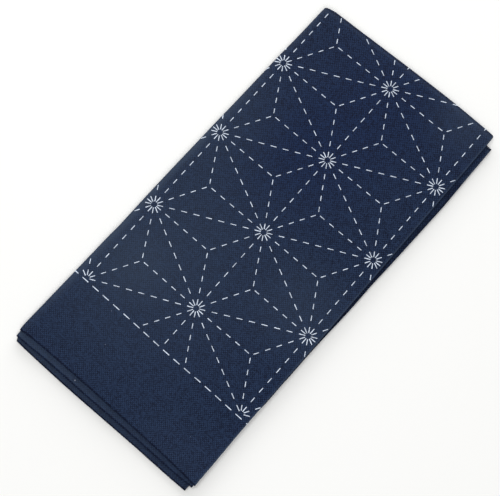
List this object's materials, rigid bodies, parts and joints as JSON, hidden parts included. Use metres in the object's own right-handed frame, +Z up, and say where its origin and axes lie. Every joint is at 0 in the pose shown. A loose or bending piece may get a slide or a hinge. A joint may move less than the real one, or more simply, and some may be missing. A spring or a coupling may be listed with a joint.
{
  "type": "folded sashiko sampler cloth",
  "caption": "Printed cotton cloth folded in half across and again along its length, lying flat with its cut ends stepped at the near end.",
  "frame": {"origin": "middle of the folded cloth's footprint, on the surface that it lies on", "axes": "+X across the cloth towards its selvedges, +Y along it to the far fold, +Z up"},
  "size_m": [0.1818, 0.3644, 0.0061],
  "materials": {
    "navy_cotton": "matt plain weave with a white printed stitch guide"
  },
  "bodies": {
    "root": {"sampler_cloth": "navy_cotton"}
  },
  "joints": []
}
